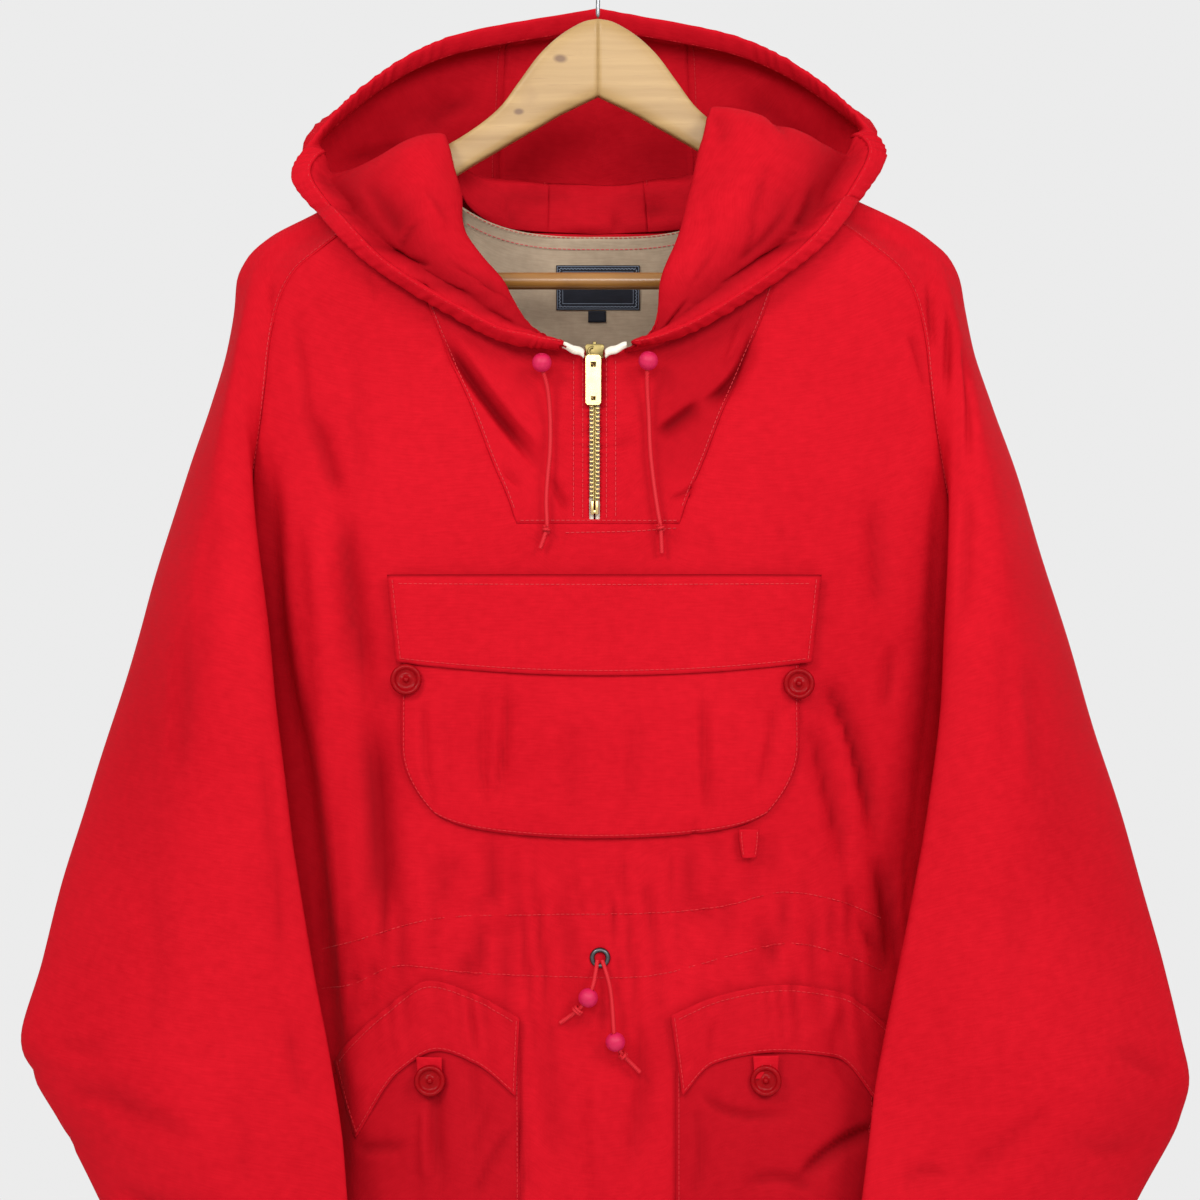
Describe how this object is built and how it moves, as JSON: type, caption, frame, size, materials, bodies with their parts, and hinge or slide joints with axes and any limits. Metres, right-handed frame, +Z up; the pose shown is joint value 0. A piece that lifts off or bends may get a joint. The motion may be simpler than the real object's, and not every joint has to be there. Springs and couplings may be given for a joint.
{
  "type": "hooded anorak pullover on a wooden hanger",
  "caption": "Loose half-zip pullover jacket with a hood, raglan sleeves, a flapped chest pocket and flapped hip pockets, hung on a wooden hanger with a bar.",
  "frame": {"origin": "inside top of the hanger's hook, where a rail holds it", "axes": "+Z up, the garment's front faces -Y, +X to the viewer's right"},
  "size_m": [0.7185, 0.2405, 0.9476],
  "materials": {
    "red_cotton": "fine plain-weave cotton, matt with a slight sheen",
    "beige_cotton": "matt plain cotton",
    "navy_woven": "woven label, matt",
    "cream_tape": "cotton tape, matt",
    "red_button": "glossy",
    "rose_cord": "round cord, satin",
    "rose_bead": "satin",
    "brass": "bright",
    "gunmetal": "dark, satin",
    "wood": "pale varnished softwood, worn",
    "bar_wood": "varnished dowel",
    "steel_wire": "bright wire"
  },
  "bodies": {
    "garment": {"front_panel": "red_cotton", "back_panel": "red_cotton", "yoke": "red_cotton", "sleeve_left": "red_cotton", "sleeve_right": "red_cotton", "hood_left": "red_cotton", "hood_right": "red_cotton", "hood_centre": "red_cotton", "hood_casing": "red_cotton", "chest_pocket": "red_cotton", "chest_flap": "red_cotton", "loop_tab": "red_cotton", "hip_pocket_left": "red_cotton", "hip_pocket_right": "red_cotton", "hip_flap_left": "red_cotton", "hip_flap_right": "red_cotton", "waist_channel": "red_cotton", "neck_facing": "beige_cotton", "label": "navy_woven", "size_tab": "navy_woven", "zip_tape_left": "cream_tape", "zip_tape_right": "cream_tape", "button_chest_left": "red_button", "button_chest_right": "red_button", "button_hip_left": "red_button", "button_hip_right": "red_button", "hood_cord_left": "rose_cord", "hood_knot_left": "rose_cord", "hood_bead_left": "rose_bead", "hood_cord_right": "rose_cord", "hood_knot_right": "rose_cord", "hood_bead_right": "rose_bead", "waist_cord_left": "rose_cord", "waist_knot_left": "rose_cord", "waist_bead_left": "rose_bead", "waist_cord_right": "rose_cord", "waist_knot_right": "rose_cord", "waist_bead_right": "rose_bead", "zip_chain": "brass", "zip_stop": "brass", "zip_slider": "brass", "waist_eyelet": "gunmetal", "hanger_arm_left": "wood", "hanger_arm_right": "wood", "hanger_bar": "bar_wood", "hanger_hook": "steel_wire"},
    "pull_tab": {"zip_pull": "brass"}
  },
  "joints": [
    {"name": "pull_tab_swing", "type": "hinge", "parent": "garment", "child": "pull_tab", "pos_m": [-0.0028, -0.07, -0.2885], "axis": [-1, 0, 0], "range_deg": [0, 150]}
  ]
}
